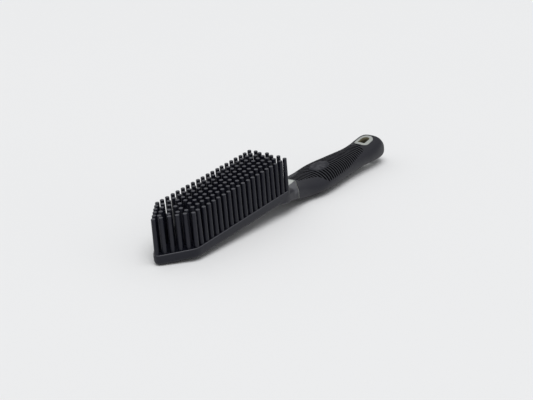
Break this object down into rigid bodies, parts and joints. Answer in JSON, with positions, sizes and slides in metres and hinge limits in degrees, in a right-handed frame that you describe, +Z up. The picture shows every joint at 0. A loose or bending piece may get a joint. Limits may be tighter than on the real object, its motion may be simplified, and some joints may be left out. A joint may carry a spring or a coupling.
{
  "type": "pet hair removal brush",
  "caption": "Long hand brush with a V-pointed head of upright rubber pins, a cranked neck and a ribbed rubber grip with a hanging eyelet, for lifting pet hair from fabric.",
  "frame": {"origin": "centre of the bounding box, on the table under the brush, which lies on its back", "axes": "+X from the point of the head to the end of the handle, +Z up along the pins"},
  "size_m": [0.2294, 0.0304, 0.0377],
  "materials": {
    "core": "light grey hard plastic, fine moulded satin",
    "head_boot": "black rubber, satin",
    "pin_pad": "black rubber, satin",
    "grip_sleeve": "black soft-touch rubber, matt"
  },
  "bodies": {
    "root": {"core": "core", "head_boot": "head_boot", "pin_pad": "pin_pad", "grip_sleeve": "grip_sleeve"}
  },
  "joints": []
}
